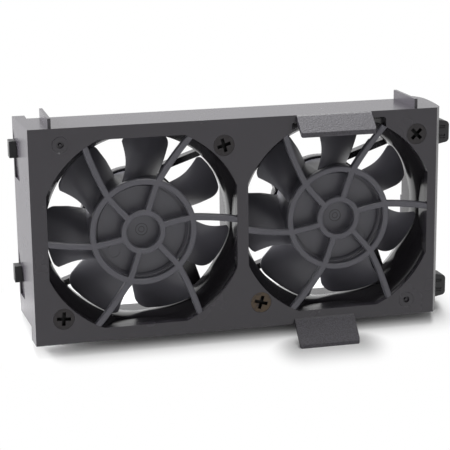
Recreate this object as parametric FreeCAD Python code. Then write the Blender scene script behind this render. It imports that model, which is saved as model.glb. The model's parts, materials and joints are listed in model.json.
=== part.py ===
"""Server fan module: a moulded carrier that holds two 60 mm axial fans side by side.

Millimetres. The origin is the middle of the carrier's front face. +X runs to the right as the
front is faced, +Y runs back through the fans and +Z is up.
"""
import FreeCAD
import Part
import os
from math import atan2, cos, degrees, hypot, pi, radians, sin, sqrt, tan

V = FreeCAD.Vector
BACK = V(0, 1, 0)

# Carrier
plate_t = 2.5
wall_t = 1.9            # top wall and bottom rim
side_t = 2.2            # side walls
fan_room = 1.0          # between the fans and the top wall, and between them and the rim
left_room = 3.6         # from the left edge of the plate to the left fan
right_room = 1.6        # from the right fan to the right edge of the plate
top_depth = 19.5        # front face to the rear edge of the top wall
side_depth = 25.0       # front face to the rear edge of the side walls
rim_depth = 7.0         # front face to the rear edge of the bottom rim
side_foot = 4.3         # bottom edge of the side walls above the bottom of the rim
left_flare = 1.6        # how far the left wall leans out over its depth
right_step = 1.5        # how far the right wall stands out just behind the front face
right_bulge = 2.6       # the same at its widest
curl_r = 9.0            # the right wall's curl towards its rear edge
rib_t = 1.0             # locating ribs round each fan
rib_short = 4.0         # the side ribs and the divider stop this far ahead of the top wall's rear
fit_gap = 0.1           # between the ribs and the fans
fin_t = 0.95
fin_h = 2.9
fin_inset = 6.6         # side of the plate to the middle of each fin
fin_start = 1.0

# Where the fans sit
fan_size = 60.0
fan_depth = 20.0
fan_pitch = 61.2
hole_pitch = 50.0
hole_d = 4.3

# Openings and finger guards
opening_flat = 28.85    # middle of an opening to each of its four flats
screw_land = 0.555      # plate between a screw's head and the arc that cuts the corner
guard_t = 2.0
inner_ring = (5.05, 6.85)
outer_ring = (14.5, 16.35)
spoke_w = 1.9
spoke_count = 6
spoke_start = 17.0      # degrees, where the first spoke leaves the inner ring
spoke_lag = 4.0         # degrees that a spoke falls back between the rings
arm_lag = 11.5          # degrees that an arm falls back between the outer ring and the plate
guard_edge = 0.35       # bevel of the guard's front edges
arm_root = 2.0          # how far the arms are drawn past the corners before they are trimmed

# Grip tabs over and under the right fan
top_grip = (18.0, 41.7, 5.2, 4.6, 1.45)           # left, right, reach forward, drop, tip's thickness
bottom_grip = (17.4, 36.8, 6.2, 6.9, 1.15)
bottom_grip_root = 1.8  # upper side of the lower grip's root above the bottom of the plate
grip_root_d = 1.2       # how far the grips are rooted in the plate
grip_corner = 0.6
grip_window_h = 2.05    # the window in the plate behind the upper grip
grip_window_w = 30.0
shutoff_d = 0.8         # how far the guard is cut back behind the upper grip
shutoff_z = 24.0        # from this height up

# Gate dimples, from the middle of their fan
gate_at = ((-24.1, 27.9), (22.7, -28.2))
gate_r = 2.6
gate_d = 0.35
gate_edge = 0.3         # slope of the dimple's edge
gate_hole = (1.05, 1.2)                  # radius and depth of the hole in the middle
gate_nub = (0.55, 0.3, 0.75)             # root radius, tip radius, height of its broken sprue

# Screws, one in the top right hole and one in the bottom left hole of each fan
screw_head_r = 3.2
screw_shank_r = 2.1
screw_head_h = 1.1
screw_len = 8.0
screw_sink = 0.08       # heads lie this far under the plate's face
screw_fit = 0.05        # round the heads in their countersinks
screw_clear = 0.3       # round the shanks in the plate
screw_turn = ((45.0, -17.0), (17.0, -4.0))  # degrees, upper and lower cross of the right, left fan
cross_len = 4.2
cross_w = 1.05
cross_d = 1.5

# Bumpers
bumper_base = 8.0                        # height at the wall
bumper_tip = 6.3                         # height at the tip
bumper_len = 4.4
bumper_deep = 5.6
bumper_round = 1.3
bumper_grooves = ((1.9, 0.3), (1.3, 0.3), (-1.1, 0.5), (-1.9, 0.3))  # height, width
bumper_groove_d = 0.35
bumper_y = 9.4
bumper_z = (23.9, -26.3)
pad_size = (2.0, 4.2, 5.2)               # out, deep, high
pad_y = 22.6
pad_z = (23.4, -15.8)
pocket_size = (0.7, 7.6, 15.2)           # deep, along the wall, high
pocket_ledge = 1.2      # wall left behind the pockets
pocket_z = (22.0, -15.2)

# Fan frame
flange_t = 4.5
flange_corner = 3.5
bore_r = 28.6
duct_r = 31.4           # outside of the duct between the flanges
front_flare = 5.1       # depth of the flare at the inlet
rear_flare = 7.8        # depth of the flare at the outlet
strut_count = 4
strut_at = 42.0         # degrees, where the first strut meets the frame
strut_sweep = 24.0      # degrees that a strut falls back from the base to the frame
strut_w = 1.9
strut_d = 3.4
channel_w = 4.4         # the strut that carries the leads is a channel
channel_wall = 0.9
base_over = 0.55        # the base's rim outside the hub
base_rim_t = 1.2
base_rim_d = 3.5
base_t = 1.5
base_boss_wall = 1.0
standoff_r = 0.9
standoff_in = 2.0       # middle of the standoffs inside the base's rim

# Impeller
hub_recess = 1.5        # hub face behind the fan's inlet face
hub_r = 15.45
hub_wall = 1.35
hub_face_t = 1.3
hub_groove = (1.65, 0.4, 0.45)           # inside the hub's edge, width, depth
hub_rim_drop = 0.15     # the rim outside that groove lies this far behind the face
hub_edge = 1.1          # rounding outside the rim
hub_len = 14.0
hub_rings = ((0.75, 0.95), (1.65, 1.9))  # fine rings round the hub's gate mark
hub_ring_d = 0.15
pin_mark = (10.6, 215.0, 2.0, 0.2)       # ejector mark: from the axis, degrees, radius, line
impeller_turn = {"left": 0, "right": 2}  # blade pitches that each impeller is turned on
blade_count = 7
blade_tip_r = 28.2
blade_first = 31.0      # degrees, middle of the first blade
blade_at = (12.4, 14.6, 18.8, 23.2, 28.9)         # sections, measured from the axis
blade_lead = (30.5, 26.2, 19.6, 17.6, 16.9)       # degrees ahead of the middle
blade_trail = (23.0, 22.3, 21.2, 19.8, 17.4)      # degrees behind the middle
blade_front = (0.8, 0.8, 1.1, 2.0, 3.6)           # leading edge behind the hub's face
blade_back = 1.0        # trailing edges ahead of the hub's rear edge
blade_corners = (2.4, 3.6)                        # rounding of the leading and trailing tips
blade_t = 1.25
blade_camber = 0.3

# Motor
shaft_r = 1.5
shaft_boss_r = 3.0
boss_len = 2.6
yoke_t = 0.9
magnet_t = 2.0
air_gap = 0.4
bearing_r = 4.0
bearing_w = 3.0
race_t = 0.65
ball_count = 7
ball_play = 0.1
shield_t = 0.2
tube_t = 0.8
tube_shoulder = 0.7
washer_t = 0.5
stack_len = 6.0
pole_count = 4
pole_w = 2.6
core_wall = 1.2         # the core's hub outside the bearing tube
shoe_t = 1.3
shoe_span = 72.0
insulator_t = 1.0
insulator_side = 0.3
insulator_wall = 1.5    # the insulator's hub outside the bearing tube
insulator_inset = (6.0, 0.3)             # degrees and millimetres inside the shoes
pin_r = 0.4
pin_gap = 0.2           # between the pins and the boss of the base
coil_t = 0.9
coil_gap = 0.1          # between a coil and its shoe
board_t = 1.0
sensor_size = (3.0, 1.6, 0.9)            # along the board's edge, across, high
driver_size = (4.4, 3.6, 0.9)
capacitor_size = (2.0, 1.25, 0.8)
chip_angles = (45.0, 135.0, 222.0, 236.0)         # sensor, driver and two capacitors
board_gap = 0.6         # board to the floor of the base
clip_t = 0.35
clip_r = 2.5

# Places that follow from the sizes
plate_w = fan_pitch + fan_size + left_room + right_room
plate_h = fan_size + 2 * (fan_room + wall_t)
fans_shift = (left_room - right_room) / 2
fan_x = {"left": fans_shift - fan_pitch / 2, "right": fans_shift + fan_pitch / 2}
fan_y0 = plate_t
fan_y1 = fan_y0 + fan_depth
top = plate_h / 2
hub_y0 = fan_y0 + hub_recess
hub_y1 = hub_y0 + hub_len
floor_y = fan_y1 - base_t
board_y1 = floor_y - board_gap
board_y0 = board_y1 - board_t
boss_y1 = hub_y0 + hub_face_t + boss_len
front_bearing_y = boss_y1 + washer_t
tube_y0 = front_bearing_y - 0.2
tube_r = bearing_r + tube_t
shaft_y1 = floor_y - 0.25
rear_bearing_y = board_y0 - 0.1 - bearing_w
base_r = hub_r + base_over
base_boss_r = tube_r + base_boss_wall
opening_r = hypot(hole_pitch, hole_pitch) / 2 - screw_head_r - screw_land
cup_r = hub_r - hub_wall
magnet_r = cup_r - yoke_t
core_r = magnet_r - magnet_t - air_gap
stack_y0 = (front_bearing_y + rear_bearing_y + bearing_w - stack_len) / 2
hole_spots = [(sx * hole_pitch / 2, sz * hole_pitch / 2) for sx in (-1, 1) for sz in (-1, 1)]
screw_spots = [(hole_pitch / 2, hole_pitch / 2), (-hole_pitch / 2, -hole_pitch / 2)]


def box(x0, x1, y0, y1, z0, z1):
    return Part.makeBox(x1 - x0, y1 - y0, z1 - z0, V(x0, y0, z0))


def rod(r, y0, y1, x=0.0, z=0.0):
    return Part.makeCylinder(r, y1 - y0, V(x, y0, z), BACK)


def tube(r0, r1, y0, y1):
    return rod(r1, y0, y1).cut(rod(r0, y0, y1))


def cone(r0, r1, y0, y1, x=0.0, z=0.0):
    return Part.makeCone(r0, r1, y1 - y0, V(x, y0, z), BACK)


def turned(shape, angle):
    """The shape turned about the fan's axis, positive from +X towards +Z."""
    copy = shape.copy()
    copy.rotate(V(0, 0, 0), BACK, -angle)
    return copy


def moved(shape, x=0.0, y=0.0, z=0.0):
    copy = shape.copy()
    copy.translate(V(x, y, z))
    return copy


def joined(shapes):
    solids = [solid for shape in shapes for solid in shape.Solids]
    return solids[0].multiFuse(solids[1:]).removeSplitter()


def square(half, y0, y1):
    return box(-half, half, y0, y1, -half, half)


def polar(r, angle, y=0.0):
    return V(r * cos(radians(angle)), y, r * sin(radians(angle)))


def opening(y0, y1):
    """The square opening whose corners are cut by arcs, round the fan's axis."""
    return rod(opening_r, y0, y1).common(square(opening_flat, y0, y1))


# Carrier

def left_x(y):
    """Outside of the left wall at the depth y."""
    return -plate_w / 2 - left_flare * y / side_depth


def carrier_plan(inset):
    """The carrier seen from above, drawn this far inside its side walls."""
    right = plate_w / 2
    knee_y = side_depth - curl_r
    widest = right + right_bulge - inset
    start = V(left_x(0) + inset, 0, 0)
    corner = V(right - inset, 0, 0)
    step = V(right + right_step - inset, 2.0, 0)
    bulge = V(widest, knee_y, 0)
    curl = V(widest - 0.12 * curl_r, side_depth - 0.42 * curl_r, 0)
    rear = V(widest - 0.42 * curl_r, side_depth, 0)
    rear_left = V(left_x(side_depth) + inset, side_depth, 0)
    edges = [Part.LineSegment(start, corner), Part.LineSegment(corner, step),
             Part.Arc(step, V(widest - 0.25, (2.0 + knee_y) / 2, 0), bulge),
             Part.Arc(bulge, curl, rear), Part.LineSegment(rear, rear_left),
             Part.LineSegment(rear_left, start)]
    return Part.Face(Part.Wire([edge.toShape() for edge in edges]))


def carrier_shell():
    outer = carrier_plan(0).extrude(V(0, 0, plate_h))
    outer.translate(V(0, 0, -top))
    inner = carrier_plan(side_t).extrude(V(0, 0, plate_h - 2 * wall_t))
    inner.translate(V(0, 0, -top + wall_t))
    inner = inner.cut(box(-plate_w, plate_w, -1, plate_t, -plate_h, plate_h))
    shell = outer.cut(inner)
    middle = plate_w / 2 - side_t
    behind_top = box(-middle, middle + 1, top_depth, side_depth + 1, 0, top + 1)
    under_walls = box(-plate_w, plate_w, rim_depth, side_depth + 1, -top - 1, -top + side_foot)
    open_rear = box(-middle, middle, top_depth + 1, side_depth + 1, -top, top + 1)
    return shell.cut(behind_top).cut(under_walls).cut(open_rear)


def fan_ribs(x):
    """Ribs on the inside of the top wall and rim that locate one fan."""
    ribs = []
    reach = fan_size / 2 + fit_gap
    for dx in (-fan_size / 3, fan_size / 3):
        x0 = x + dx - rib_t / 2
        ribs.append(box(x0, x0 + rib_t, plate_t, top_depth - 1, reach, top - wall_t))
        ribs.append(box(x0, x0 + rib_t, plate_t, rim_depth - 1, -top + wall_t, -reach))
    return ribs


def side_ribs():
    """Ribs from the side walls to the outer side of each fan."""
    ribs = []
    left = fan_x["left"] - fan_size / 2 - fit_gap
    right = fan_x["right"] + fan_size / 2 + fit_gap
    for z in (-fan_size / 3, fan_size / 3):
        ribs.append(box(left_x(0) + 1, left, plate_t, top_depth - rib_short, z, z + rib_t))
        ribs.append(box(right, plate_w / 2 + 1, plate_t, top_depth - rib_short, z, z + rib_t))
    return ribs


def divider():
    x = fans_shift
    half = (fan_pitch - fan_size) / 2 - fit_gap
    return box(x - half, x + half, plate_t, top_depth - rib_short, -top + wall_t, top - wall_t)


def fin(x):
    return box(x - fin_t / 2, x + fin_t / 2, fin_start, top_depth, top - 0.5, top + fin_h)


def grip(size, edge_z, root_z):
    """A sloping grip tab, thickest at the plate, that reaches forward and down.

    edge_z and root_z are the upper and the lower side of its root.
    """
    x0, x1, reach, drop, thick = size
    profile = [V(x0, grip_root_d, edge_z), V(x0, 0, edge_z), V(x0, -reach, edge_z - drop),
               V(x0, -reach, edge_z - drop - thick), V(x0, 0, root_z), V(x0, grip_root_d, root_z)]
    tab = Part.Face(Part.makePolygon(profile + profile[:1])).extrude(V(x1 - x0, 0, 0))
    tips = [edge for edge in tab.Edges
            if all(abs(v.Y + reach) < 1e-6 for v in edge.Vertexes)
            and abs(edge.Vertexes[0].Z - edge.Vertexes[1].Z) > thick / 2]
    return tab.makeFillet(grip_corner, tips)


def gate(x, z):
    """A dished dimple with a small hole, and the stub of the sprue in it."""
    hole_r, hole_depth = gate_hole
    root_r, tip_r, high = gate_nub
    dish = cone(gate_r, gate_r - gate_edge, 0, gate_d, x, z)
    mouth = rod(gate_r, -1, 0, x, z)
    hole = rod(hole_r, 0, hole_depth, x, z)
    nub = cone(tip_r, root_r, hole_depth - high, hole_depth, x, z)
    return joined([mouth, dish, hole]).cut(nub)


def screw_seat(x, z):
    head_r = screw_head_r + screw_fit
    head = cone(head_r, screw_shank_r + screw_fit, screw_sink, screw_sink + screw_head_h, x, z)
    mouth = rod(head_r, -1, screw_sink, x, z)
    return joined([mouth, head, rod(screw_shank_r + screw_clear, 0, plate_t + 1, x, z)])


def grip_window():
    x = fan_x["right"]
    half = grip_window_w / 2
    window = box(x - half, x + half, 0, plate_t + 1, opening_flat - 1, opening_flat + grip_window_h)
    corners = [edge for edge in window.Edges
               if abs(edge.Vertexes[0].Y - edge.Vertexes[1].Y) > 1 and edge.Vertexes[0].Z > opening_flat]
    return window.makeFillet(1.0, corners)


def wall_pocket(z):
    """A shallow pocket in the left wall, deeper towards its lower end."""
    depth, along, high = pocket_size
    y0 = side_depth - pocket_ledge - along
    x = left_x(y0)
    x1 = left_x(side_depth - pocket_ledge)
    outline = [V(x - 3, y0, z + high / 2), V(x - 0.02, y0, z + high / 2),
               V(x + depth, y0, z - high / 2), V(x - 3, y0, z - high / 2)]
    front = Part.makePolygon(outline + outline[:1])
    rear = front.copy()
    rear.translate(V(x1 - x, along, 0))
    return Part.makeLoft([front, rear], True, True)


def carrier():
    solids = [carrier_shell()]
    for side in fan_x:
        solids += fan_ribs(fan_x[side])
    solids += side_ribs()
    solids.append(divider())
    for sign in (-1, 1):
        solids.append(fin(sign * (plate_w / 2 - fin_inset)))
    solids.append(grip(top_grip, top, opening_flat + grip_window_h))
    solids.append(grip(bottom_grip, bottom_grip_root - top, -top))
    body = joined(solids)
    for side in fan_x:
        body = body.cut(moved(opening(-1, plate_t + 1), fan_x[side]))
        for dx, dz in screw_spots:
            body = body.cut(screw_seat(fan_x[side] + dx, dz))
    for side, (dx, dz) in zip(fan_x, gate_at):
        body = body.cut(gate(fan_x[side] + dx, dz))
    body = body.cut(grip_window())
    for z in pocket_z:
        body = body.cut(wall_pocket(z))
    return body


# Finger guards

def eased(bar):
    """The bar with its long front edges bevelled."""
    front = [edge for edge in bar.Edges if edge.BoundBox.YMax < 1e-4 and edge.Length > 3]
    return bar.makeChamfer(guard_edge, front).Solids[0]


def ribbon(points, width):
    """A flat bar of the given width along the arc through three points, guard_t deep."""
    start, middle, end = points
    centre = Part.Arc(start, middle, end).toShape().Curve.Center
    side = []
    for offset in (-width / 2, width / 2):
        side.append([point + (point - centre).normalize() * offset for point in points])
    edges = [Part.Arc(*side[0]).toShape(), Part.LineSegment(side[0][2], side[1][2]).toShape(),
             Part.Arc(side[1][2], side[1][1], side[1][0]).toShape(),
             Part.LineSegment(side[1][0], side[0][0]).toShape()]
    return eased(Part.Face(Part.Wire(edges)).extrude(BACK * guard_t))


def spoke(k):
    turn = 360.0 / spoke_count * k + spoke_start
    r0 = sum(inner_ring) / 2
    r1 = sum(outer_ring) / 2
    return ribbon([polar(r0, turn), polar((r0 + r1) / 2, turn - 0.6 * spoke_lag),
                   polar(r1, turn - spoke_lag)], spoke_w)


def arm(k):
    turn = 360.0 / spoke_count * k + spoke_start - spoke_lag
    r0 = sum(outer_ring) / 2
    r1 = opening_r + arm_root
    return ribbon([polar(r0, turn), polar((r0 + r1) / 2, turn - 0.6 * arm_lag),
                   polar(r1, turn - arm_lag)], spoke_w)


def finger_guard(side):
    """Rings, spokes and arms. The seam of each ring is turned to lie inside a spoke."""
    bars = [turned(eased(tube(*inner_ring, 0, guard_t)), spoke_start - 90),
            turned(eased(tube(*outer_ring, 0, guard_t)), spoke_start - spoke_lag - 89)]
    for k in range(spoke_count):
        bars.append(spoke(k))
        bars.append(arm(k))
    guard = joined(bars).common(opening(0, guard_t))
    if side == "right":
        half = grip_window_w / 2
        guard = guard.cut(box(-half, half, guard_t - shutoff_d, guard_t + 1, shutoff_z, opening_r + 1))
    return guard


# Fans

def flared_bore():
    """What the air passes through: a flare at each end, flattened where it meets the sides."""
    limit = square(opening_flat, fan_y0 - 1, fan_y1 + 1)
    inlet = cone(opening_r, bore_r, fan_y0, fan_y0 + front_flare).common(limit)
    outlet = cone(bore_r, opening_r, fan_y1 - rear_flare, fan_y1).common(limit)
    return joined([rod(bore_r, fan_y0, fan_y1), inlet, outlet])


def flange(y0, y1):
    plate = square(fan_size / 2, y0, y1)
    corners = [edge for edge in plate.Edges if abs(edge.Vertexes[0].Y - edge.Vertexes[1].Y) > 1]
    plate = plate.makeFillet(flange_corner, corners)
    for x, z in hole_spots:
        plate = plate.cut(rod(hole_d / 2, y0 - 1, y1 + 1, x, z))
    return plate


def along_strut(angle, width, y0, y1, start, end):
    """A bar along the strut that meets the bore at this angle.

    start and end are how far the bar stops short of the base's rim and of the bore.
    """
    inner = polar(base_r - base_rim_t / 2, angle + strut_sweep)
    outer = polar(bore_r, angle)
    heading = degrees(atan2(outer.z - inner.z, outer.x - inner.x))
    bar = box(start, (outer - inner).Length - end, y0, y1, -width / 2, width / 2)
    return moved(turned(bar, heading), inner.x, 0, inner.z)


def strut(angle, width):
    return along_strut(angle, width, fan_y1 - strut_d, fan_y1, -1, bore_r - duct_r)


def lead_channel(angle):
    """The groove for the leads, open to the rear, from the base to the frame."""
    width = channel_w - 2 * channel_wall
    return along_strut(angle, width, fan_y1 - strut_d + channel_wall, fan_y1 + 1,
                       0.6 * base_rim_t, bore_r - duct_r)


def motor_base():
    floor = rod(base_r, floor_y, fan_y1)
    rim = tube(base_r - base_rim_t, base_r, fan_y1 - base_rim_d, fan_y1)
    boss = tube(tube_r, base_boss_r, board_y0 - 1.2, fan_y1)
    parts = [floor, rim, boss]
    for k in range(3):
        spot = polar(base_r - base_rim_t - standoff_in, 20 + 120 * k)
        parts.append(rod(standoff_r, board_y1, floor_y, spot.x, spot.z))
    return joined(parts)


def fan_frame():
    limit = square(fan_size / 2, fan_y0, fan_y1)
    duct = rod(duct_r, fan_y0, fan_y1).common(limit)
    frame = joined([flange(fan_y0, fan_y0 + flange_t), flange(fan_y1 - flange_t, fan_y1), duct])
    frame = frame.cut(flared_bore())
    struts = []
    for k in range(strut_count):
        angle = strut_at + 360.0 / strut_count * k
        width = channel_w if k == strut_count - 1 else strut_w
        struts.append(strut(angle, width))
    spider = joined(struts).cut(rod(base_r - base_rim_t / 2, fan_y0, fan_y1 + 1))
    frame = joined([frame, spider, motor_base()])
    return frame.cut(lead_channel(strut_at - 360.0 / strut_count))


def blade_section(k):
    """Blade section in the plane blade_at[k] from the axis: a spline along each side.

    A point at the share s of the chord lies at the angle lead - s * (lead + trail) from the
    blade's middle, and its depth runs from the leading to the trailing edge with a parabolic
    camber. Round the section s = (1 - cos(a)) / 2 and the half thickness goes with sin(a).
    """
    distance = blade_at[k]
    share = max(0.0, (distance - hub_r) / (blade_tip_r - hub_r))
    lead, trail = blade_lead[k], blade_trail[k]
    y0 = hub_y0 + blade_front[k]
    y1 = hub_y1 - blade_back

    def chord(s):
        angle = radians(lead - s * (lead + trail))
        depth = y0 + (y1 - y0) * (s - blade_camber * s * (1 - s))
        return distance * tan(angle), depth

    ring = []
    count = 12
    for i in range(count + 1):
        a = 2 * pi * i / count
        s = (1 - cos(a)) / 2
        t, y = chord(s)
        t0, y_0 = chord(s - 0.02)
        t1, y_1 = chord(s + 0.02)
        run = hypot(t1 - t0, y_1 - y_0)
        half = 0.5 * blade_t * sin(a) * (1.15 - 0.35 * share)
        ring.append(V(distance, y - half * (t1 - t0) / run, t + half * (y_1 - y_0) / run))
    faces = []
    for points in (ring[:count // 2 + 1], ring[count // 2:count] + ring[:1]):
        curve = Part.BSplineCurve()
        curve.interpolate(Points=points, Parameters=[float(i) for i in range(len(points))])
        faces.append(curve.toShape())
    return Part.Wire(faces)


def blade_outline():
    """A blade as the front view shows it, a little wider than its edges, with rounded tips."""
    lead, trail = blade_lead[-1] + 0.5, -blade_trail[-1] - 0.5
    ends = [polar(blade_tip_r, lead, hub_y0), polar(blade_tip_r, trail, hub_y0)]
    roots = [polar(hub_r - hub_wall, -blade_trail[0] - 4, hub_y0),
             polar(hub_r - hub_wall, blade_lead[0] + 4, hub_y0)]
    edges = [Part.Arc(ends[0], V(blade_tip_r, hub_y0, 0), ends[1]), Part.LineSegment(ends[1], roots[0]),
             Part.LineSegment(roots[0], roots[1]), Part.LineSegment(roots[1], ends[0])]
    prism = Part.Face(Part.Wire([edge.toShape() for edge in edges])).extrude(BACK * hub_len)
    for end, radius in zip(ends, blade_corners):
        corner = [edge for edge in prism.Edges
                  if all(hypot(v.X - end.x, v.Z - end.z) < 1e-4 for v in edge.Vertexes)]
        prism = prism.makeFillet(radius, corner)
    return prism


def blade():
    """One blade, its middle along +X."""
    loft = Part.makeLoft([blade_section(k) for k in range(len(blade_at))], True, False)
    return loft.common(blade_outline()).cut(rod(hub_r - hub_wall / 2, hub_y0 - 1, hub_y1 + 1))


def impeller():
    inset, width, depth = hub_groove
    rim_y = hub_y0 + hub_rim_drop
    cup = rod(hub_r, rim_y, hub_y1)
    edge = [e for e in cup.Edges if e.BoundBox.YMax < rim_y + 1e-4]
    cup = cup.makeFillet(hub_edge, edge)
    cup = joined([cup, rod(hub_r - inset - width, hub_y0, hub_y0 + depth)])
    cup = cup.cut(tube(hub_r - inset - width, hub_r - inset, hub_y0 - 1, hub_y0 + depth))
    cup = cup.cut(rod(cup_r, hub_y0 + hub_face_t, hub_y1 + 1))
    boss = rod(shaft_boss_r, hub_y0 + hub_face_t, boss_y1)
    cup = joined([cup, boss])
    cup = cup.cut(rod(shaft_r, hub_y0 + hub_face_t, boss_y1 + 1))
    for r0, r1 in hub_rings:
        cup = cup.cut(tube(r0, r1, hub_y0 - 1, hub_y0 + hub_ring_d))
    mark_at, mark_angle, mark_r, line = pin_mark
    spot = polar(mark_at, mark_angle)
    cup = cup.cut(moved(tube(mark_r - line, mark_r, hub_y0 - 1, hub_y0 + hub_ring_d), spot.x, 0, spot.z))
    one = blade()
    blades = []
    for k in range(blade_count):
        blades.append(turned(one, blade_first + 360.0 / blade_count * k))
    return joined([cup] + blades)


# Motor

def rotor_yoke():
    y0 = hub_y0 + hub_face_t
    cup = rod(cup_r, y0, hub_y1 - 0.4).cut(rod(cup_r - yoke_t, y0 + yoke_t, hub_y1))
    return cup.cut(rod(shaft_boss_r, y0 - 1, y0 + yoke_t + 1))


def magnet_ring():
    return tube(magnet_r - magnet_t, magnet_r, stack_y0 - 1.2, hub_y1 - 0.7)


def shaft():
    groove_y = rear_bearing_y + bearing_w + 0.05
    body = rod(shaft_r, hub_y0 + hub_face_t, shaft_y1)
    return body.cut(tube(shaft_r - 0.4, shaft_r + 1, groove_y, groove_y + clip_t))


def retaining_clip():
    y = rear_bearing_y + bearing_w + 0.05
    ring = tube(shaft_r - 0.38, clip_r, y, y + clip_t)
    return ring.cut(box(0, clip_r + 1, y - 1, y + 1, -shaft_r + 0.45, shaft_r - 0.45))


def preload_washer():
    return tube(shaft_r + 0.05, shaft_r + race_t, boss_y1, front_bearing_y)


def bearing_outer(y):
    ring = tube(bearing_r - race_t, bearing_r, y, y + bearing_w)
    inner = shaft_r + race_t + 0.15
    shields = [tube(inner, bearing_r - race_t, y, y + shield_t),
               tube(inner, bearing_r - race_t, y + bearing_w - shield_t, y + bearing_w)]
    return joined([ring] + shields)


def bearing_inner(y):
    return tube(shaft_r, shaft_r + race_t, y, y + bearing_w)


def bearing_balls(y):
    """Balls in the middle of the space between the races, which leaves their play."""
    middle = (shaft_r + bearing_r) / 2
    ball_r = (bearing_r - shaft_r) / 2 - race_t - ball_play
    balls = []
    for k in range(ball_count):
        spot = polar(middle, 360.0 / ball_count * k, y + bearing_w / 2)
        balls.append(Part.makeSphere(ball_r, spot))
    return balls


def bearing_tube():
    body = tube(bearing_r, tube_r, tube_y0, floor_y)
    shoulder = tube(bearing_r - tube_shoulder, bearing_r, front_bearing_y + bearing_w, rear_bearing_y)
    return joined([body, shoulder])


def pole_arms(width, reach, y0, y1):
    arms = []
    for k in range(pole_count):
        bar = box(0, reach, y0, y1, -width / 2, width / 2)
        arms.append(turned(bar, 360.0 / pole_count * k))
    return arms


def shoe_sector(r0, r1, span, y0, y1):
    """Arc pieces of a ring, one for each pole."""
    ring = tube(r0, r1, y0, y1)
    wedge_points = [V(0, y0, 0), polar(3 * r1, -span / 2, y0), polar(3 * r1, span / 2, y0)]
    wedge = Part.Face(Part.makePolygon(wedge_points + wedge_points[:1])).extrude(BACK * (y1 - y0))
    piece = ring.common(wedge)
    return [turned(piece, 360.0 / pole_count * k) for k in range(pole_count)]


def stator_core():
    y0, y1 = stack_y0, stack_y0 + stack_len
    hub = rod(tube_r + core_wall, y0, y1)
    arms = pole_arms(pole_w, core_r - shoe_t / 2, y0, y1)
    shoes = shoe_sector(core_r - shoe_t, core_r, shoe_span, y0, y1)
    return joined([hub] + arms + shoes).cut(rod(tube_r, y0 - 1, y1 + 1))


def insulator(y0, y1, pins_to=None):
    turn_in, edge_in = insulator_inset
    hub = rod(tube_r + insulator_wall, y0, y1)
    arms = pole_arms(pole_w + 2 * insulator_side, core_r - shoe_t / 2, y0, y1)
    shoes = shoe_sector(core_r - shoe_t, core_r - edge_in, shoe_span - 2 * turn_in, y0, y1)
    shape = joined([hub] + arms + shoes).cut(rod(tube_r, y0 - 1, y1 + 1))
    if pins_to is None:
        return shape
    pins = []
    for k in range(pole_count):
        spot = polar(base_boss_r + pin_gap + pin_r, 180.0 / pole_count + 360.0 / pole_count * k)
        pins.append(rod(pin_r, y0, pins_to, spot.x, spot.z))
    return joined([shape] + pins)


def insulators():
    y0, y1 = stack_y0, stack_y0 + stack_len
    return [insulator(y0 - insulator_t, y0), insulator(y1, y1 + insulator_t, board_y0)]


def windings():
    """One coil round each pole, over the core and its insulators."""
    half = pole_w / 2 + insulator_side
    y0 = stack_y0 - insulator_t
    y1 = stack_y0 + stack_len + insulator_t
    r0 = tube_r + insulator_wall + 0.2
    r1 = sqrt((core_r - shoe_t) ** 2 - (half + coil_t) ** 2) - coil_gap
    outer = box(r0, r1, y0 - coil_t, y1 + coil_t, -half - coil_t, half + coil_t)
    along = [e for e in outer.Edges if abs(e.Vertexes[0].X - e.Vertexes[1].X) > 1e-3]
    outer = outer.makeFillet(0.7 * coil_t, along)
    coil = outer.cut(box(r0 - 1, r1 + 1, y0, y1, -half, half))
    return [turned(coil, 360.0 / pole_count * k) for k in range(pole_count)]


def circuit_board():
    return tube(base_boss_r + 0.2, base_r - base_rim_t - 0.3, board_y0, board_y1)


def board_parts():
    """The Hall sensor, the driver and two capacitors, on the board's front under the magnets."""
    r = magnet_r - magnet_t / 2
    parts = []
    for angle, size in zip(chip_angles, (sensor_size, driver_size, capacitor_size, capacitor_size)):
        length, width, high = size
        body = box(r - width / 2, r + width / 2, board_y0 - high, board_y0, -length / 2, length / 2)
        parts.append(turned(body, angle))
    return parts


# Small pieces

def screw(x, z, turn):
    """A countersunk screw whose cross is turned this many degrees from upright."""
    y0 = screw_sink
    head = cone(screw_head_r, screw_shank_r, y0, y0 + screw_head_h, x, z)
    body = joined([head, rod(screw_shank_r, y0 + screw_head_h - 0.1, screw_len, x, z)])
    for angle in (turn, turn + 90):
        slot = box(-cross_len / 2, cross_len / 2, -1, y0 + cross_d, -cross_w / 2, cross_w / 2)
        body = body.cut(moved(turned(slot, angle), x, 0, z))
    return body


def fan_screws():
    screws = []
    for side, turns in zip(("right", "left"), screw_turn):
        for (dx, dz), turn in zip(screw_spots, turns):
            screws.append(screw(fan_x[side] + dx, dz, turn))
    return screws


def right_x(y):
    """Outside of the right wall at the depth y, read off the carrier's plan."""
    line = Part.LineSegment(V(0, y, 0), V(plate_w, y, 0)).toShape()
    return line.common(carrier_plan(0)).BoundBox.XMax


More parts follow.
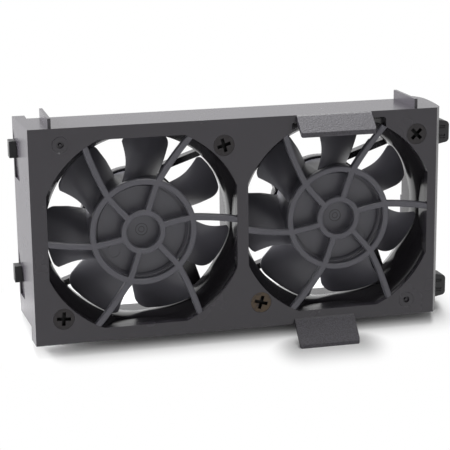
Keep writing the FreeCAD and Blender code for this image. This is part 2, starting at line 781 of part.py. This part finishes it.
def bumper(z):
    """A tapered rubber bumper on the right wall, with fine grooves along its front and rear."""
    wall = right_x(bumper_y)
    tip = wall + bumper_len
    y0, y1 = bumper_y - bumper_deep / 2, bumper_y + bumper_deep / 2
    outline = [V(wall - 2, y0, z - bumper_base / 2), V(wall, y0, z - bumper_base / 2),
               V(tip, y0, z - bumper_tip / 2), V(tip, y0, z + bumper_tip / 2),
               V(wall, y0, z + bumper_base / 2), V(wall - 2, y0, z + bumper_base / 2)]
    block = Part.Face(Part.makePolygon(outline + outline[:1])).extrude(BACK * bumper_deep)
    corners = [e for e in block.Edges
               if all(abs(v.X - tip) < 1e-4 for v in e.Vertexes)
               and abs(e.Vertexes[0].Y - e.Vertexes[1].Y) > 1]
    block = block.makeFillet(bumper_round, corners)
    for dz, width in bumper_grooves:
        for side_y in (y0, y1):
            block = block.cut(box(wall - 3, tip - bumper_round, side_y - bumper_groove_d,
                                  side_y + bumper_groove_d, z + dz - width / 2, z + dz + width / 2))
    return block


def side_pads():
    """Two flat rubber pads at the rear of the left wall, each in its pocket."""
    out, deep, high = pad_size
    pads = []
    for z in pad_z:
        x1 = left_x(pad_y) + 0.1
        pads.append(box(x1 - out, x1 + side_t / 2, pad_y - deep / 2, pad_y + deep / 2,
                        z - high / 2, z + high / 2))
    return pads


def write(name, shapes):
    solids = [solid for shape in shapes for solid in shape.Solids]
    shape = solids[0] if len(solids) == 1 else Part.makeCompound(solids)
    shape.exportStep("parts/" + name + ".step")


def main():
    os.makedirs("parts", exist_ok=True)
    body = carrier()
    write("carrier", [body])
    write("fan_screws", fan_screws())
    write("right_bumpers", [bumper(z).cut(body) for z in bumper_z])
    write("left_pads", [pad.cut(body) for pad in side_pads()])
    fan = {
        "fan_frame": fan_frame(), "impeller": impeller(), "rotor_yoke": rotor_yoke(),
        "magnet_ring": magnet_ring(), "shaft": shaft(), "retaining_clip": retaining_clip(),
        "preload_washer": preload_washer(), "bearing_tube": bearing_tube(),
        "front_bearing_outer": bearing_outer(front_bearing_y),
        "front_bearing_inner": bearing_inner(front_bearing_y),
        "front_bearing_balls": bearing_balls(front_bearing_y),
        "rear_bearing_outer": bearing_outer(rear_bearing_y),
        "rear_bearing_inner": bearing_inner(rear_bearing_y),
        "rear_bearing_balls": bearing_balls(rear_bearing_y),
        "stator_core": stator_core(), "stator_insulators": insulators(), "windings": windings(),
        "circuit_board": circuit_board(), "board_parts": board_parts(),
    }
    for side, x in fan_x.items():
        write(side + "_finger_guard", [moved(finger_guard(side), x)])
        for name, solids in fan.items():
            pieces = solids if isinstance(solids, list) else [solids]
            angle = 360.0 / blade_count * impeller_turn[side] if name == "impeller" else 0
            write(side + "_" + name, [moved(turned(piece, angle), x) for piece in pieces])


main()
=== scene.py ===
import json
import math

import bpy
import numpy as np
from mathutils import Matrix, Vector


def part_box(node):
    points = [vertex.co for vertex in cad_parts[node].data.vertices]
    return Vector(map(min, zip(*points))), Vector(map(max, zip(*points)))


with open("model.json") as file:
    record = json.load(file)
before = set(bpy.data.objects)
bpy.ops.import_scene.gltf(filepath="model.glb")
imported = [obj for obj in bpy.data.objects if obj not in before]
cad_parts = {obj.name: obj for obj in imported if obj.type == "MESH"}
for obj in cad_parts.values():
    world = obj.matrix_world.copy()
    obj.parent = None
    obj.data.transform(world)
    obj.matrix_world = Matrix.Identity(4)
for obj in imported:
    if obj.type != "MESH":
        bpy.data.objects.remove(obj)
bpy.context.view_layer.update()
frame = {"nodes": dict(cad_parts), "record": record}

mm = 0.001
slotOf = {part["node"]: part["material_slot"] for part in frame["record"]["subparts"]}
fanMiddle = {side: (Vector(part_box(side + "_fan_frame")[0]) + Vector(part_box(side + "_fan_frame")[1])) / 2
             for side in ("left", "right")}
print("frame loaded:", len(frame["nodes"]), "nodes")


# sRGB hex code to linear values: v / 12.92 below 0.04045, ((v + 0.055) / 1.055) to the 2.4 above
def linear(code):
    values = [int(code[i:i + 2], 16) / 255 for i in (0, 2, 4)]
    return [v / 12.92 if v <= 0.04045 else ((v + 0.055) / 1.055) ** 2.4 for v in values] + [1.0]


# A node with its properties. Each input, by name or by place, gets a value or another node's output.
# A Mix node's names repeat: its colours are the inputs 6 and 7 and the output 2.
def addNode(tree, kind, inputs=None, **properties):
    node = tree.nodes.new("ShaderNode" + kind)
    for key, value in properties.items():
        setattr(node, key, value)
    for key, value in (inputs or {}).items():
        if isinstance(value, bpy.types.NodeSocket):
            tree.links.new(value, node.inputs[key])
        else:
            node.inputs[key].default_value = value
    return node


# A Principled material whose colour and gloss drift slowly and whose relief is a fine grain, with
# one cell of noise per driftMm and per grainMm. It returns the values that a finish may change;
# the relief is in millimetres.
def newFinish(name, look):
    material = bpy.data.materials.new(name)
    material.use_nodes = True
    material.diffuse_color = linear(look["colour"])
    tree = material.node_tree
    tree.nodes.clear()
    shader = addNode(tree, "BsdfPrincipled", look.get("shader"))
    addNode(tree, "OutputMaterial", {"Surface": shader.outputs[0]})
    coords = addNode(tree, "TexCoord").outputs["Object"]
    drift = addNode(tree, "TexNoise", {"Vector": coords, "Scale": 1 / (look["driftMm"] * mm),
                                       "Detail": 3.0}).outputs["Fac"]
    tone = addNode(tree, "MapRange", {"Value": drift, "To Min": 1 - look["toneDrift"],
                                      "To Max": 1 + look["toneDrift"]}).outputs[0]
    colour = addNode(tree, "VectorMath", {0: linear(look["colour"])[:3], "Scale": tone},
                     operation="SCALE").outputs[0]
    gloss = addNode(tree, "MapRange", {"Value": drift, "To Min": look["roughness"] - look["glossDrift"],
                                       "To Max": look["roughness"] + look["glossDrift"]}).outputs[0]
    grain = addNode(tree, "TexNoise", {"Vector": coords, "Scale": 1 / (look["grainMm"] * mm),
                                       "Detail": 2.0}).outputs["Fac"]
    relief = addNode(tree, "Math", {0: grain, 1: look["grainDepthMm"]}, operation="MULTIPLY").outputs[0]
    return {"material": material, "tree": tree, "shader": shader, "coords": coords,
            "colour": colour, "gloss": gloss, "relief": relief}


# Links the colour, the gloss and the relief of a finish to its shader
def closeFinish(finish):
    tree, shader = finish["tree"], finish["shader"]
    bump = addNode(tree, "Bump", {"Strength": 1.0, "Distance": mm, "Height": finish["relief"]})
    tree.links.new(bump.outputs[0], shader.inputs["Normal"])
    tree.links.new(finish["colour"], shader.inputs["Base Color"])
    tree.links.new(finish["gloss"], shader.inputs["Roughness"])
    return finish["material"]


# Carrier: ABS from a spark-eroded mould, a dark grey with a trace of violet and an even satin
# sheen. The grips, which lie in front of the plate, are rough like sandpaper and scatter the
# light. Both grains are drawn coarser than the real ones, so that they show.
erodedLook = {
    "colour": "312e34", "roughness": 0.27, "glossDrift": 0.015, "toneDrift": 0.05, "driftMm": 16,
    "grainMm": 0.5, "grainDepthMm": 0.008, "shader": {"IOR": 1.52},
    "gripColour": "45434a", "gripRoughness": 0.5, "gripGrainMm": 0.42, "gripDepthMm": 0.045,
    "gripPeaks": (0.35, 0.65),      # noise below the first is a pit, above the second a peak
    "gripFromMm": (0.1, 0.5)}       # in front of the plate, where the grips' grain sets in

# Guards: the same plastic, a little greyer and duller, and drawn lighter as a painted highlight for the
# light that their thin rounded bars catch
litGuardLook = dict(erodedLook, colour="535259", roughness=0.38)


# The grain, the colour and the gloss go over to the grips' ones in front of the plate's face
def erodedAbs(name, look):
    finish = newFinish(name, look)
    tree = finish["tree"]
    depth = addNode(tree, "SeparateXYZ", {"Vector": finish["coords"]}).outputs["Y"]
    start, full = look["gripFromMm"]
    grip = addNode(tree, "MapRange", {"Value": depth, "From Min": -start * mm,
                                      "From Max": -full * mm}).outputs[0]
    speck = addNode(tree, "TexNoise", {"Vector": finish["coords"], "Scale": 1 / (look["gripGrainMm"] * mm),
                                       "Detail": 1.0}).outputs["Fac"]
    pit, top = look["gripPeaks"]
    peak = addNode(tree, "MapRange", {"Value": speck, "From Min": pit, "From Max": top}).outputs[0]
    coarse = addNode(tree, "Math", {0: peak, 1: look["gripDepthMm"]}, operation="MULTIPLY").outputs[0]
    tone = addNode(tree, "Mix", {"Factor": peak, 6: linear(look["colour"]), 7: linear(look["gripColour"])},
                   data_type="RGBA").outputs[2]
    finish["colour"] = addNode(tree, "Mix", {"Factor": grip, 6: finish["colour"], 7: tone},
                               data_type="RGBA").outputs[2]
    finish["relief"] = addNode(tree, "MapRange", {"Value": grip, "To Min": finish["relief"],
                                                  "To Max": coarse}).outputs[0]
    finish["gloss"] = addNode(tree, "MapRange", {"Value": grip, "To Min": finish["gloss"],
                                                 "To Max": look["gripRoughness"]}).outputs[0]
    return closeFinish(finish)


# Plain moulded, drawn, ground and coated finishes, each with its own grain and gloss
plainLooks = {
    # glass-filled PBT from a polished mould: deeper black, glossy, with soft flow streaks
    "fan_plastic": ("polished-mould black PBT", {
        "colour": "1d1b1e", "roughness": 0.2, "glossDrift": 0.05, "toneDrift": 0.1, "driftMm": 9,
        "grainMm": 0.7, "grainDepthMm": 0.004, "shader": {"IOR": 1.57}}),
    # the same plastic duller and greyer, as thin blades come out of the mould
    "impeller_plastic": ("satin black PBT", {
        "colour": "4d4c53", "roughness": 0.38, "glossDrift": 0.05, "toneDrift": 0.1, "driftMm": 8,
        "grainMm": 0.5, "grainDepthMm": 0.005, "shader": {"IOR": 1.57}}),
    # moulded EPDM: matt black, slightly dusty
    "bumper_rubber": ("moulded black EPDM rubber", {
        "colour": "1b1b1d", "roughness": 0.55, "glossDrift": 0.08, "toneDrift": 0.2, "driftMm": 3,
        "grainMm": 0.35, "grainDepthMm": 0.02, "shader": {"IOR": 1.5}}),
    # deep-drawn zinc-plated steel: pale, faintly mottled
    "zinc_steel": ("zinc-plated drawn steel", {
        "colour": "a9abab", "roughness": 0.35, "glossDrift": 0.08, "toneDrift": 0.1, "driftMm": 2,
        "grainMm": 0.3, "grainDepthMm": 0.005, "shader": {"Metallic": 1.0}}),
    # rubber-bonded ferrite: dull dark grey
    "bonded_magnet": ("rubber-bonded ferrite", {
        "colour": "2b2a2c", "roughness": 0.6, "glossDrift": 0.08, "toneDrift": 0.15, "driftMm": 2,
        "grainMm": 0.25, "grainDepthMm": 0.01}),
    # ground bearing steel: bright and even
    "bearing_steel": ("ground bearing steel", {
        "colour": "c4c6c8", "roughness": 0.16, "glossDrift": 0.05, "toneDrift": 0.05, "driftMm": 2,
        "grainMm": 0.3, "grainDepthMm": 0.002, "shader": {"Metallic": 1.0}}),
    # rolled spring steel strip: grey, with a soft sheen
    "spring_steel": ("spring steel strip", {
        "colour": "8b8d90", "roughness": 0.3, "glossDrift": 0.06, "toneDrift": 0.1, "driftMm": 2,
        "grainMm": 0.3, "grainDepthMm": 0.003, "shader": {"Metallic": 1.0}}),
    # unfilled nylon: creamy white, waxy
    "insulator_nylon": ("moulded natural nylon", {
        "colour": "e6e3da", "roughness": 0.45, "glossDrift": 0.05, "toneDrift": 0.04, "driftMm": 3,
        "grainMm": 0.3, "grainDepthMm": 0.005, "shader": {"IOR": 1.53}}),
    # green solder mask over glass cloth: smooth, with a fine weave
    "board_laminate": ("solder-masked glass laminate", {
        "colour": "2f5a3a", "roughness": 0.32, "glossDrift": 0.05, "toneDrift": 0.12, "driftMm": 1,
        "grainMm": 0.25, "grainDepthMm": 0.006}),
    # epoxy moulding compound: dull black
    "chip_resin": ("epoxy chip resin", {
        "colour": "1d1d1f", "roughness": 0.55, "glossDrift": 0.05, "toneDrift": 0.1, "driftMm": 2,
        "grainMm": 0.2, "grainDepthMm": 0.004}),
}

# Shade in the two fine rings moulded round each hub's centre: their radii, how far from a ring's
# middle the shade is full and gone, and how dark it is
hubRings = {"radiiMm": (0.85, 1.8), "shadeMm": (0.068, 0.17), "shade": 0.3}


# The distance to the nearer of the two fan axes picks out the rings: the length of (x, z), with x
# measured from the middle between the fans, made positive and lessened by half the fans' pitch
def shadeRings(finish, look):
    tree = finish["tree"]
    middle = (fanMiddle["left"] + fanMiddle["right"]) / 2
    halfPitch = fanMiddle["right"].x - middle.x
    place = addNode(tree, "VectorMath", {0: finish["coords"], 1: middle}, operation="SUBTRACT").outputs[0]
    place = addNode(tree, "VectorMath", {0: place}, operation="ABSOLUTE").outputs[0]
    place = addNode(tree, "VectorMath", {0: place, 1: (halfPitch, 0, 0)}, operation="SUBTRACT").outputs[0]
    place = addNode(tree, "VectorMath", {0: place, 1: (1, 0, 1)}, operation="MULTIPLY").outputs[0]
    radius = addNode(tree, "VectorMath", {0: place}, operation="LENGTH").outputs["Value"]
    dark, clear = look["shadeMm"]
    for ring in look["radiiMm"]:
        away = addNode(tree, "Math", {0: radius, 1: ring * mm}, operation="SUBTRACT").outputs[0]
        away = addNode(tree, "Math", {0: away}, operation="ABSOLUTE").outputs[0]
        tone = addNode(tree, "MapRange", {"Value": away, "From Min": dark * mm, "From Max": clear * mm,
                                          "To Min": look["shade"], "To Max": 1.0}).outputs[0]
        finish["colour"] = addNode(tree, "VectorMath", {0: finish["colour"], "Scale": tone},
                                   operation="SCALE").outputs[0]


# Lined finishes: ridges side by side along the fan's axis, over the grain, darker between them
linedLooks = {
    # turned tube: fine turning marks that stretch its highlights
    "turned_brass": ("turned brass", {
        "colour": "c9a553", "roughness": 0.26, "glossDrift": 0.05, "toneDrift": 0.06, "driftMm": 2,
        "grainMm": 0.3, "grainDepthMm": 0.002, "shader": {"Metallic": 1.0},
        "ridgePitchMm": 0.12, "ridgeHighMm": 0.004}),
    # stack of punched sheets, half a millimetre each: grey with dark joints
    "laminated_steel": ("punched steel laminations", {
        "colour": "8f9194", "roughness": 0.4, "glossDrift": 0.08, "toneDrift": 0.15, "driftMm": 1,
        "grainMm": 0.35, "grainDepthMm": 0.01, "shader": {"Metallic": 1.0},
        "ridgePitchMm": 0.5, "ridgeHighMm": 0.05}),
    # enamelled wire 0.22 mm thick, wound side by side: glossy copper ridges
    "enamelled_copper": ("enamelled copper wire", {
        "colour": "b5652f", "roughness": 0.28, "glossDrift": 0.06, "toneDrift": 0.12, "driftMm": 1,
        "grainMm": 0.2, "grainDepthMm": 0.01, "shader": {"Metallic": 0.9},
        "ridgePitchMm": 0.22, "ridgeHighMm": 0.06}),
}


# The ridges' height goes with the absolute value of sin(pi * y / pitch), and their colour with
# half of that plus a half
def linedFinish(name, look):
    finish = newFinish(name, look)
    tree = finish["tree"]
    place = addNode(tree, "SeparateXYZ", {"Vector": finish["coords"]}).outputs["Y"]
    turn = math.pi / (look["ridgePitchMm"] * mm)
    angle = addNode(tree, "Math", {0: place, 1: turn}, operation="MULTIPLY").outputs[0]
    wave = addNode(tree, "Math", {0: angle}, operation="SINE").outputs[0]
    ridge = addNode(tree, "Math", {0: wave}, operation="ABSOLUTE").outputs[0]
    finish["relief"] = addNode(tree, "Math", {0: ridge, 1: look["ridgeHighMm"], 2: finish["relief"]},
                               operation="MULTIPLY_ADD").outputs[0]
    shade = addNode(tree, "Math", {0: ridge, 1: 0.5, 2: 0.5}, operation="MULTIPLY_ADD").outputs[0]
    finish["colour"] = addNode(tree, "VectorMath", {0: finish["colour"], "Scale": shade},
                               operation="SCALE").outputs[0]
    return closeFinish(finish)


# Screws: black-oxide steel, dark with an oily sheen, their cross recesses painted near black as shade. On
# one of them the oxide is thin and warm brown steel shows through.
screwLook = {
    "colour": "343233", "roughness": 0.34, "glossDrift": 0.1, "toneDrift": 0.35, "driftMm": 1.0,
    "grainMm": 0.22, "grainDepthMm": 0.012, "shader": {"Metallic": 0.8},
    # painted shade: the recesses are drawn near black, fading in between these two depths
    "recessShade": "040404", "recessFromMm": (0.12, 0.4),    # behind the head's face
    "brown": "4b4136", "brownReachMm": (5.76, 4.32),    # gone at the first, full within the second
    "patchMm": 1.1, "patchEdges": (0.3, 0.5), "headRadiusMm": 3.2}


# The depth behind the heads' face picks out their recesses, which are painted near black as shade, and the
# distance to the middle of the right fan's lower head picks out the brown one
def blackOxide(name, look):
    finish = newFinish(name, look)
    tree, coords = finish["tree"], finish["coords"]
    low, high = (Vector(corner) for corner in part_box("fan_screws"))
    radius = look["headRadiusMm"] * mm
    head = Vector((2 * fanMiddle["right"].x - high.x + radius, low.y, low.z + radius))
    away = addNode(tree, "VectorMath", {0: coords, 1: head}, operation="DISTANCE").outputs["Value"]
    gone, full = look["brownReachMm"]
    near = addNode(tree, "MapRange", {"Value": away, "From Min": gone * mm,
                                      "From Max": full * mm}).outputs[0]
    noise = addNode(tree, "TexNoise", {"Vector": coords, "Scale": 1 / (look["patchMm"] * mm),
                                       "Detail": 3.0}).outputs["Fac"]
    bare, covered = look["patchEdges"]
    patches = addNode(tree, "MapRange", {"Value": noise, "From Min": bare, "From Max": covered}).outputs[0]
    brown = addNode(tree, "Math", {0: near, 1: patches}, operation="MULTIPLY").outputs[0]
    # Painted shade: the recesses turn near black by their depth behind the head's face
    depth = addNode(tree, "SeparateXYZ", {"Vector": coords}).outputs["Y"]
    start, full = look["recessFromMm"]
    sunkShade = addNode(tree, "MapRange", {"Value": depth, "From Min": low.y + start * mm,
                                      "From Max": low.y + full * mm}).outputs[0]
    for share, code in ((brown, look["brown"]), (sunkShade, look["recessShade"])):
        finish["colour"] = addNode(tree, "Mix", {"Factor": share, 6: finish["colour"], 7: linear(code)},
                                   data_type="RGBA").outputs[2]
    return closeFinish(finish)


# One material for each slot of the frame, and one more for the guards, drawn lighter as a painted highlight
materials = {"carrier_plastic": erodedAbs("spark-eroded black ABS", erodedLook),
             "guard": erodedAbs("black ABS with painted guard highlight", litGuardLook),
             "black_steel": blackOxide("black-oxide steel", screwLook)}
for slot, (name, look) in plainLooks.items():
    finish = newFinish(name, look)
    if slot == "impeller_plastic":
        shadeRings(finish, hubRings)
    materials[slot] = closeFinish(finish)
for slot, (name, look) in linedLooks.items():
    materials[slot] = linedFinish(name, look)


def dress(piece, material):
    piece.data.materials.clear()
    piece.data.materials.append(material)


for name, node in frame["nodes"].items():
    dress(node, materials["guard" if name.endswith("finger_guard") else slotOf[name]])
print("materials:", len(materials))

# Edges that the mould leaves slightly round: the rounding of each piece in millimetres, and the
# least angle between two faces that counts as an edge
easing = {
    "roundMm": {"carrier": 0.22, "left_fan_frame": 0.2, "right_fan_frame": 0.2,
                "left_finger_guard": 0.2, "right_finger_guard": 0.2, "left_impeller": 0.12,
                "right_impeller": 0.12, "right_bumpers": 0.25, "left_pads": 0.2, "fan_screws": 0.12},
    "leastAngle": 40, "steps": 2, "mergeMm": 0.001}


# The CAD's loose triangles are joined first, so that a bevel finds their edges
def easeEdges(node, width):
    weld = node.modifiers.new("weld", "WELD")
    weld.merge_threshold = easing["mergeMm"] * mm
    bevel = node.modifiers.new("bevel", "BEVEL")
    bevel.width = width * mm
    bevel.segments = easing["steps"]
    bevel.limit_method = "ANGLE"
    bevel.angle_limit = math.radians(easing["leastAngle"])


for name, width in easing["roundMm"].items():
    easeEdges(frame["nodes"][name], width)
print("edges eased:", len(easing["roundMm"]))

# Stage: a white board and a white surround. The module leans back a little, on its rear bottom
# edge and the tip of its lower grip.
stage = {
    "halfWidth": 3.0, "board": "f0f0f0",
    "surround": 0.36,           # how bright the surround is in the light that it gives
    "shadeMm": (0, 11),         # the shadow starts to fade and is gone this far from the footprints
    "shadeFromMm": 5,           # the carrier's footprint starts this far behind its face
    "gripHighMm": 3,            # the lower grip's footprint is that of its lowest part
    "gripDeepMm": 5}            # the module's rear bottom edge lies further behind the tip than this


# 1 where a camera, glossy or transmission ray looks, 0 for the light that reaches the object
def seenDirectly(tree):
    path = addNode(tree, "LightPath").outputs
    first = addNode(tree, "Math", {0: path["Is Camera Ray"], 1: path["Is Glossy Ray"]},
                    operation="MAXIMUM").outputs[0]
    return addNode(tree, "Math", {0: first, 1: path["Is Transmission Ray"]},
                   operation="MAXIMUM").outputs[0]


# How far a place lies outside a rectangle, seen from above: the length of
# max(|place - middle| - half, 0), with a half so high that the height drops out
def outside(tree, coords, low, high):
    middle = ((low[0] + high[0]) / 2, (low[1] + high[1]) / 2, 0)
    half = ((high[0] - low[0]) / 2, (high[1] - low[1]) / 2, 2 * stage["halfWidth"])
    away = addNode(tree, "VectorMath", {0: coords, 1: middle}, operation="SUBTRACT").outputs[0]
    away = addNode(tree, "VectorMath", {0: away}, operation="ABSOLUTE").outputs[0]
    away = addNode(tree, "VectorMath", {0: away, 1: half}, operation="SUBTRACT").outputs[0]
    away = addNode(tree, "VectorMath", {0: away, 1: (0, 0, 0)}, operation="MAXIMUM").outputs[0]
    return addNode(tree, "VectorMath", {0: away}, operation="LENGTH").outputs["Value"]


# Matt white board: it keeps the shadow close to the footprints and turns plain white past them
def whiteBoard(footprints):
    material = bpy.data.materials.new("matt white board")
    material.use_nodes = True
    tree = material.node_tree
    tree.nodes.clear()
    coords = addNode(tree, "TexCoord").outputs["Object"]
    first, second = (outside(tree, coords, low, high) for low, high in footprints)
    away = addNode(tree, "Math", {0: first, 1: second}, operation="MINIMUM").outputs[0]
    near, far = stage["shadeMm"]
    white = addNode(tree, "MapRange", {"Value": away, "From Min": near * mm, "From Max": far * mm},
                    interpolation_type="SMOOTHSTEP").outputs[0]
    share = addNode(tree, "Math", {0: white, 1: seenDirectly(tree)}, operation="MULTIPLY").outputs[0]
    matt = addNode(tree, "BsdfDiffuse", {"Color": linear(stage["board"])}).outputs[0]
    glow = addNode(tree, "Emission", {"Strength": 1.0}).outputs[0]
    blend = addNode(tree, "MixShader", {"Fac": share, 1: matt, 2: glow}).outputs[0]
    addNode(tree, "OutputMaterial", {"Surface": blend})
    return material


# The points of a CAD node, one row each
def meshPoints(name):
    mesh = frame["nodes"][name].data
    points = np.empty(3 * len(mesh.vertices))
    mesh.vertices.foreach_get("co", points)
    return points.reshape(-1, 3)


# A square plane that rises from the tip of the lower grip to the carrier's rear bottom edge. The
# slope is the least (z - zTip) / (y - yTip) over the carrier's points behind the grip, so that
# none lies below the plane.
def makeFloor():
    points = meshPoints("carrier")
    tip = points[points[:, 2].argmin()]
    behind = points[points[:, 1] > tip[1] + stage["gripDeepMm"] * mm]
    slope = ((behind[:, 2] - tip[2]) / (behind[:, 1] - tip[1])).min()
    half = stage["halfWidth"]
    x, y = np.array([-half, half, half, -half]), np.array([-half, -half, half, half])
    corners = np.column_stack([x, y, tip[2] + (y - tip[1]) * slope])
    mesh = bpy.data.meshes.new("floor")
    mesh.from_pydata(corners.tolist(), [], [(0, 1, 2, 3)])
    floor = bpy.data.objects.new("floor", mesh)
    bpy.context.collection.objects.link(floor)
    low, high = points.min(axis=0), points.max(axis=0)
    grip = points[points[:, 2] < tip[2] + stage["gripHighMm"] * mm]
    dress(floor, whiteBoard([((low[0], stage["shadeFromMm"] * mm), high[:2]),
                             (grip.min(axis=0)[:2], grip.max(axis=0)[:2])]))
    print("floor slope in degrees:", round(math.degrees(math.atan(slope)), 2))


# Plain white where it is looked at, and dimmer in the light that it gives
def whiteSurround():
    world = bpy.data.worlds.new("white surround")
    bpy.context.scene.world = world
    world.use_nodes = True
    tree = world.node_tree
    tree.nodes.clear()
    level = addNode(tree, "MapRange", {"Value": seenDirectly(tree), "To Min": stage["surround"],
                                       "To Max": 1.0}).outputs[0]
    back = addNode(tree, "Background", {"Color": (1, 1, 1, 1), "Strength": level}).outputs[0]
    addNode(tree, "OutputWorld", {"Surface": back})


# A softbox over the rear half, and a second one at the left, each turned towards the module.
# Places and sizes are in metres, powers in watts.
softboxes = {"overhead": {"place": (0.05, 0.10, 0.60), "size": (0.5, 0.34), "power": 4.8},
             "left side": {"place": (-0.6, 0.35, 0.2), "size": (0.4, 0.5), "power": 22.0}}


def softbox(name, look):
    lamp = bpy.data.lights.new(name, "AREA")
    lamp.shape = "RECTANGLE"
    lamp.size, lamp.size_y = look["size"]
    lamp.energy = look["power"]
    item = bpy.data.objects.new(name, lamp)
    bpy.context.collection.objects.link(item)
    item.location = look["place"]
    item.rotation_mode = "QUATERNION"
    item.rotation_quaternion = (-Vector(look["place"])).to_track_quat("-Z", "Y")


makeFloor()
whiteSurround()
for name, look in softboxes.items():
    softbox(name, look)
print("stage ready")

# Place in metres, angles in degrees, lens and sensor in millimetres
camera = {"place": (-0.11131, -0.43108, 0.11192), "azimuth": -13.901, "elevation": 14.09,
          "roll": -0.694, "focalMm": 120.928, "sensorMm": 36}


# A camera turned to an azimuth and an elevation, then rolled about its own axis
def makeCamera():
    az, el, roll = (math.radians(camera[key]) for key in ("azimuth", "elevation", "roll"))
    back = Vector((math.sin(az) * math.cos(el), -math.cos(az) * math.cos(el), math.sin(el)))
    right = (-back).cross(Vector((0, 0, 1))).normalized()
    up = right.cross(-back)
    right, up = (math.cos(roll) * right + math.sin(roll) * up,
                 -math.sin(roll) * right + math.cos(roll) * up)
    lens = bpy.data.cameras.new("camera")
    lens.sensor_width = camera["sensorMm"]
    lens.lens = camera["focalMm"]
    item = bpy.data.objects.new("camera", lens)
    bpy.context.collection.objects.link(item)
    turn = Matrix((right, up, back)).transposed().to_4x4()
    item.matrix_world = Matrix.Translation(camera["place"]) @ turn
    bpy.context.scene.camera = item


makeCamera()
bpy.context.scene.view_settings.view_transform = "Standard"
print("camera ready")
